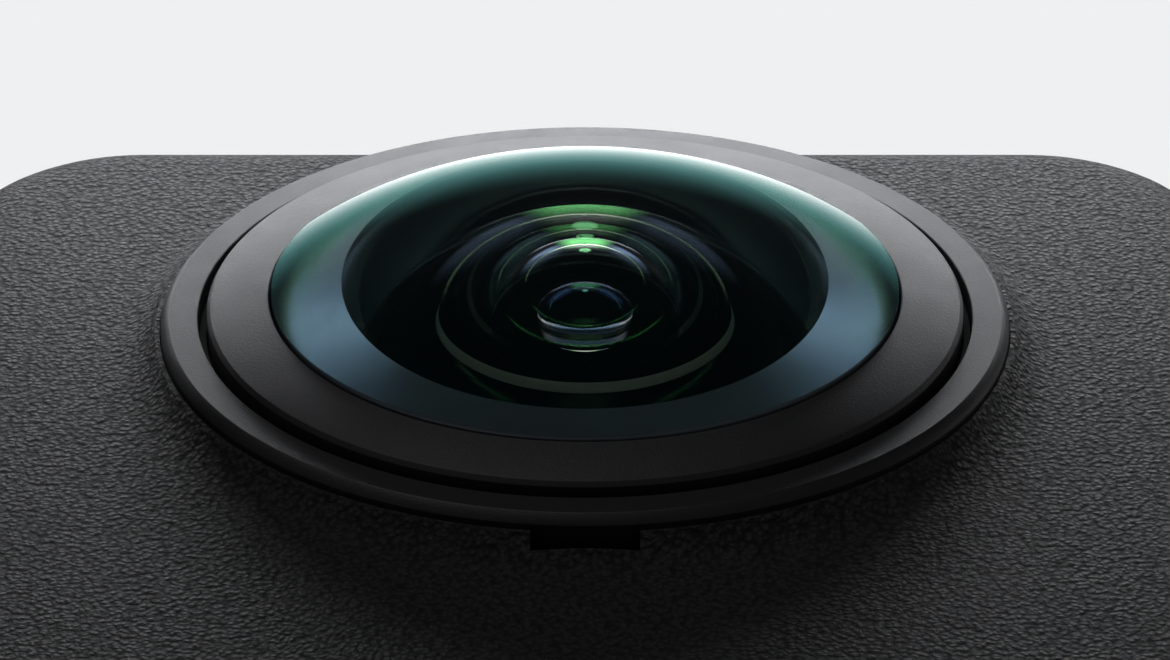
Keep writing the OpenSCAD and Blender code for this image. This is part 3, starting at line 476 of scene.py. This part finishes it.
def lined(name, colour, gloss, stretch):
    """Bare metal with fine lines in its gloss, which lie across the axis of the largest stretch."""
    low, high = gloss
    made = finish(name, colour, (low + high) / 2, 1.0)
    drawn = add(made, "Mapping", {"Vector": place_on(made), "Scale": stretch}).outputs[0]
    lines = add(made, "TexNoise", {"Vector": drawn, "Scale": 1.0, "Detail": 2.0})
    drive(made, Roughness=spread(made, lines.outputs["Fac"], low, high))
    return made


dress(lined("spreader_sheet", (0.6, 0.61, 0.62), (0.28, 0.45), (60, 60, 2500)), "heat_spreader")


# Bay and speaker: plain black mouldings inside the body.
# The bay guides the battery in, and the speaker lies behind slots in the shell's side.

inner_plastic = mottled("inner_plastic", (0.02, 0.02, 0.021), (0.45, 0.7), 2600.0)
dress(inner_plastic, "battery_bay", "speaker")


# Display: a black printed cover glass bonded flush in the rear shell, over a switched off panel.
# The panel shows through it a shade paler than the printed border, and the glass carries faint finger smears.

border_tone = (0.004, 0.004, 0.005)
panel_tone = (0.013, 0.0135, 0.017)
border_lap = 0.6 * mm

cover_glass = finish("cover_glass", border_tone, 0.06, **{"Coat Weight": 0.3, "Coat Roughness": 0.03})
place = place_on(cover_glass)
low, high = [Vector(corner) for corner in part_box("display_panel")]
off_middle = add(cover_glass, "VectorMath", {0: place, 1: (low + high) / 2}, operation="SUBTRACT").outputs[0]
off_middle = add(cover_glass, "VectorMath", {0: off_middle}, operation="ABSOLUTE").outputs[0]
off_middle = add(cover_glass, "SeparateXYZ", {0: off_middle})
half = (high - low) / 2
in_width, in_height = [
    add(cover_glass, "Math", {0: off_middle.outputs[axis], 1: reach - border_lap}, operation="LESS_THAN")
    for axis, reach in (("X", half.x), ("Z", half.z))]
in_panel = add(cover_glass, "Math", {0: in_width.outputs[0], 1: in_height.outputs[0]}, operation="MULTIPLY")
shade = add(cover_glass, "MixRGB", {"Fac": in_panel.outputs[0], "Color1": (*border_tone, 1),
                                    "Color2": (*panel_tone, 1)})
smear = add(cover_glass, "TexNoise", {"Vector": place, "Scale": 120.0, "Detail": 5.0})
drive(cover_glass, Base_Color=shade.outputs[0],
      Roughness=spread(cover_glass, smear.outputs["Fac"], 0.03, 0.1, 0.4, 0.75))
dress(cover_glass, "display_cover")
dress(mottled("panel_face", panel_tone, (0.15, 0.25), 900.0, 3.0), "display_panel")


# Buttons and latch: satin moulded keys that press on small switches, and the ribbed slide that locks the
# battery door. The keys sit in close wells of the shell, and the slide rides on its door.

key_satin = finish("key_satin", (0.03, 0.0303, 0.032), 0.38)
fine = add(key_satin, "TexNoise", {"Vector": place_on(key_satin), "Scale": 9000.0, "Detail": 2.0})
satin = add(key_satin, "Bump", {"Height": fine.outputs["Fac"], "Distance": 0.012 * mm})
drive(key_satin, Roughness=spread(key_satin, fine.outputs["Fac"], 0.36, 0.5), Normal=satin.outputs["Normal"])
dress(key_satin, "shutter_button", "power_button", "quick_button", "battery_latch")


# Shutter mark: a red ring of glossy polymer, moulded in a second shot flush with the shutter button's face.
# It moves with the button.

dress(mottled("mark_red", (0.5, 0.03, 0.018), (0.26, 0.4), 2400.0), "shutter_mark")


# Status light: a milky polymer light guide in the front shell, above the shutter button.
# It is shown switched off.

guide = mottled("light_guide", (0.6, 0.63, 0.62), (0.2, 0.36), 1500.0, **{"Transmission Weight": 0.25})
dress(guide, "status_light")


# Steel: hinge pins, the connector's and card's sockets, shield, microphones, magnets and screws.
# They are drawn, stamped or turned and plated bright, with fine brushed lines.

steel = lined("plated_steel", (0.56, 0.56, 0.58), (0.22, 0.42), (900, 6000, 900))
dress(steel, "microphones", "battery_door_pin", "connector_door_pin", "connector_socket", "card_socket",
      "processor_shield", "base_magnets", "base_screws")


# Battery: a pack in a grey film wrap that slides into the bay behind the side door.
# The film's gloss is uneven where it was shrunk on.

dress(mottled("battery_wrap", (0.06, 0.06, 0.064), (0.36, 0.55), 500.0, 4.0), "battery_pack")


# Brass: the battery's contact block and the threaded bush in the base.
# Fine bands across the height stand for the thread in the bush's bore.

brass = finish("brass", (0.6, 0.44, 0.18), 0.28, 1.0)
thread = add(brass, "TexWave", {"Vector": place_on(brass), "Scale": 250.0}, bands_direction="Z",
             wave_profile="TRI")
ridges = add(brass, "Bump", {"Height": thread.outputs["Fac"], "Distance": 0.3 * mm, "Strength": 0.6})
drive(brass, Normal=ridges.outputs["Normal"])
dress(brass, "battery_contacts", "tripod_bush")


# Base plate: a stamped aluminium plate, fine blasted and anodised matt black.
# Four screws hold it in the foot of the body.

dress(blasted("base_anodised", (0.05, 0.05, 0.053), 0.5, 0.12 * mm), "base_plate")


# Floor: a plain pale sheet that the camera stands on, clear from below and to rays through glass.
# It is pale to the view's own rays and dark to all others, so that it throws little light up on the body.

floor_reach = 1.5
floor_tone = (0.75, 0.75, 0.75)
bounce_tone = (0.05, 0.05, 0.05)

table = bmesh.new()
bmesh.ops.create_grid(table, x_segments=1, y_segments=1, size=floor_reach)
floor_mesh = bpy.data.meshes.new("floor")
table.to_mesh(floor_mesh)
table.free()
floor = bpy.data.objects.new("floor", floor_mesh)
bpy.context.scene.collection.objects.link(floor)
pale = finish("pale_floor", floor_tone, 0.7)
floor_rays = add(pale, "LightPath", {}).outputs
drive(pale, Base_Color=add(pale, "MixRGB", {"Fac": floor_rays["Is Camera Ray"], "Color1": (*bounce_tone, 1),
                                            "Color2": (*floor_tone, 1)}).outputs[0])
under = add(pale, "Math", {0: add(pale, "NewGeometry", {}).outputs["Backfacing"],
                           1: floor_rays["Is Transmission Ray"]}, operation="MAXIMUM").outputs[0]
clear = add(pale, "MixShader", {0: under, 1: pale.node_tree.nodes["Principled BSDF"].outputs[0],
                                2: add(pale, "BsdfTransparent", {}).outputs[0]})
pale.node_tree.links.new(clear.outputs[0], pale.node_tree.nodes["Material Output"].inputs["Surface"])
floor_mesh.materials.append(pale)


# Lamps: soft oblong lamps behind, ahead and beside the body, and a narrow one above the front lens ring.
# They leave out the glass and the floor. The glass has a broad window of its own overhead that pales from
# teal to white, and the floor has a soft sun.

body_middle = (0, 0, 0.04)
window_teal = (0.22, 0.6, 0.58, 1)
window_white = (1, 1, 1, 1)

glazed = bpy.data.collections.new("glazed")
polished = bpy.data.collections.new("polished")
for face in ("front", "rear"):
    for element in ("dome", "second", "inner", "last"):
        glazed.objects.link(bpy.data.objects[face + "_" + element])
        polished.objects.link(bpy.data.objects[face + "_" + element])
polished.objects.link(floor)
for held in polished.collection_objects:
    held.light_linking.link_state = "EXCLUDE"
ground = bpy.data.collections.new("ground")
ground.objects.link(floor)


def lamp(name, place, aim, size, power, colour=(1, 1, 1)):
    """A soft oblong lamp turned to a point, which leaves out the glass and the floor."""
    light = bpy.data.lights.new(name, "AREA")
    light.shape = "RECTANGLE"
    light.size, light.size_y = size
    light.energy = power
    light.color = colour
    lit = bpy.data.objects.new(name, light)
    lit.location = place
    lit.rotation_euler = (Vector(aim) - Vector(place)).to_track_quat("-Z", "Y").to_euler()
    bpy.context.scene.collection.objects.link(lit)
    lit.light_linking.receiver_collection = polished
    lit.visible_camera = False
    return lit


def ramp(made, value, low, high, top=1.0):
    """A soft step from nothing at low to the top amount at high."""
    return add(made, "MapRange", {"Value": value, "From Min": low, "From Max": high, "To Max": top},
               interpolation_type="SMOOTHSTEP").outputs[0]


lamp("ridge", (0, -0.02, 0.095), (0, -0.0116, 0.06), size=(0.08, 0.006), power=0.02, colour=(0.95, 0.97, 1))
lamp("behind", (0.1, 0.35, 0.3), body_middle, size=(0.3, 0.3), power=1.2)
lamp("ahead", (-0.15, -0.5, 0.15), body_middle, size=(0.3, 0.3), power=0.25)
lamp("beside", (0.35, 0.12, 0.2), body_middle, size=(0.25, 0.25), power=0.7)
lamp("opposite", (-0.3, 0.2, 0.16), body_middle, size=(0.08, 0.3), power=0.3)
window = lamp("window", (0, -0.0125, 0.13), (0, -0.0125, 0), size=(0.2, 0.065), power=0.09)
window.light_linking.receiver_collection = glazed
window.visible_transmission = False
pane = window.data
pane.use_nodes = True
across = add(pane, "NewGeometry", {}).outputs["Parametric"]
across = add(pane, "SeparateXYZ", {0: across}).outputs["Y"]
hue = add(pane, "MixRGB", {"Fac": ramp(pane, across, 0.35, 0.8), "Color1": window_teal,
                           "Color2": window_white})
glow = pane.node_tree.nodes["Emission"]
pane.node_tree.links.new(hue.outputs[0], glow.inputs["Color"])
pane.node_tree.links.new(ramp(pane, across, 0.1, 0.8), glow.inputs["Strength"])

sky = bpy.data.lights.new("sky", "SUN")
sky.energy = 3.0
sky.angle = math.radians(50)
above = bpy.data.objects.new("sky", sky)
above.rotation_euler = (math.radians(-14), math.radians(10), 0)
bpy.context.scene.collection.objects.link(above)
above.light_linking.receiver_collection = ground


# Room: pale to the view's own rays, dark with a paler rear to rays off gloss, and a dim fill to the rest.
# Rays through glass see a dark room with lights painted by direction: a green area, blue flanks, a pale
# rear, a thin line and a strip across, and one green spot.

unlit_tone = (0.01, 0.011, 0.012, 1)
green_tone = (0.4, 1.5, 0.5, 1)
flank_tone = (0.2, 0.3, 0.46, 1)
rear_tone = (0.9, 1.05, 1.2, 1)
low_tone = (0.007, 0.008, 0.009, 1)
line_end_tone = (0.7, 1.1, 0.75, 1)
line_middle_tone = (3.2, 3.5, 3.0, 1)
strip_tone = (0.55, 0.6, 0.58, 1)
spot_way = (0, -0.62, 0.785)
spot_tone = (1.8, 5, 2.4, 1)
dark_tone = (0.02, 0.021, 0.023, 1)
pale_tone = (0.86, 0.87, 0.88, 1)
fill_tone = (0.06, 0.06, 0.063, 1)

room = bpy.data.worlds.new("room")
room.use_nodes = True
bpy.context.scene.world = room
rays = add(room, "LightPath", {}).outputs
direction = add(room, "TexCoord", {}).outputs["Generated"]


def reckon(operation, *values):
    """A sum on the room's amounts."""
    return add(room, "Math", dict(enumerate(values)), operation=operation).outputs[0]


def blend(amount, first, second):
    """A mix of two of the room's tones."""
    return add(room, "MixRGB", {"Fac": amount, "Color1": first, "Color2": second}).outputs[0]


def band(value, start, full, fall, end):
    """A stretch of the room between two soft edges."""
    return reckon("MULTIPLY", ramp(room, value, start, full), ramp(room, value, end, fall))


lay = add(room, "SeparateXYZ", {0: direction}).outputs
rearward, upward = lay["Y"], lay["Z"]
sideways = reckon("ABSOLUTE", lay["X"])
green = reckon("MULTIPLY", ramp(room, rearward, -0.62, -0.2), ramp(room, sideways, 0.34, 0.12))
inside = blend(green, unlit_tone, green_tone)
flank = reckon("MULTIPLY", ramp(room, sideways, 0.2, 0.42), band(rearward, -0.68, -0.42, -0.28, -0.14))
inside = blend(flank, inside, flank_tone)
rear_area = reckon("MULTIPLY", ramp(room, rearward, -0.05, 0.2), ramp(room, sideways, 0.6, 0.35))
inside = blend(rear_area, inside, rear_tone)
inside = blend(ramp(room, upward, 0.4, 0.7), low_tone, inside)
line = reckon("MULTIPLY", band(rearward, -0.42, -0.405, -0.39, -0.375), ramp(room, sideways, 0.9, 0.8))
inside = blend(line, inside, blend(ramp(room, sideways, 0.4, 0.05), line_end_tone, line_middle_tone))
strip = reckon("MULTIPLY", band(rearward, -0.6, -0.5, -0.48, -0.4), ramp(room, sideways, 0.3, 0.05))
inside = blend(strip, inside, strip_tone)
spot = add(room, "VectorMath", {0: direction, 1: spot_way}, operation="DOT_PRODUCT").outputs["Value"]
inside = blend(ramp(room, spot, 0.996, 0.9985), inside, spot_tone)
around = reckon("MAXIMUM", ramp(room, rearward, 0.2, 0.9, 0.6), rays["Is Camera Ray"])
tones = blend(rays["Is Transmission Ray"], blend(around, dark_tone, pale_tone), inside)
seen = reckon("MAXIMUM", rays["Is Camera Ray"], rays["Is Glossy Ray"])
seen = reckon("MAXIMUM", seen, rays["Is Transmission Ray"])
fill = room.node_tree.nodes["Background"]
fill.inputs["Color"].default_value = fill_tone
backdrop = add(room, "Background", {"Color": tones})
mixed = add(room, "MixShader", {0: seen, 1: fill.outputs[0], 2: backdrop.outputs[0]})
room.node_tree.links.new(mixed.outputs[0], room.node_tree.nodes["World Output"].inputs["Surface"])


# Camera: low and close below the lens, looking up along the front face to the body's top end.
# It is aimed a little under the middle of the lens ring, which then sits as it does in the photograph.

ring_face_y = 13.25 * mm
rise = math.radians(27.5)
away = 225 * mm
shift = 1.06 * mm

centre = Vector((0, -ring_face_y, lens_axis_z))
eye = bpy.data.cameras.new("eye")
eye.sensor_width = 36
eye.lens = 157
eye.clip_start, eye.clip_end = 0.005, 10
viewer = bpy.data.objects.new("eye", eye)
viewer.location = centre + away * Vector((0, -math.sin(rise), -math.cos(rise)))
aim = centre - shift * Vector((0, -math.cos(rise), math.sin(rise)))
look = (aim - viewer.location).normalized()
right = Vector((1, 0, 0))
viewer.rotation_euler = Matrix((right, right.cross(look), -look)).transposed().to_euler()
bpy.context.scene.collection.objects.link(viewer)
bpy.context.scene.camera = viewer
bpy.context.scene.view_settings.view_transform = "Standard"
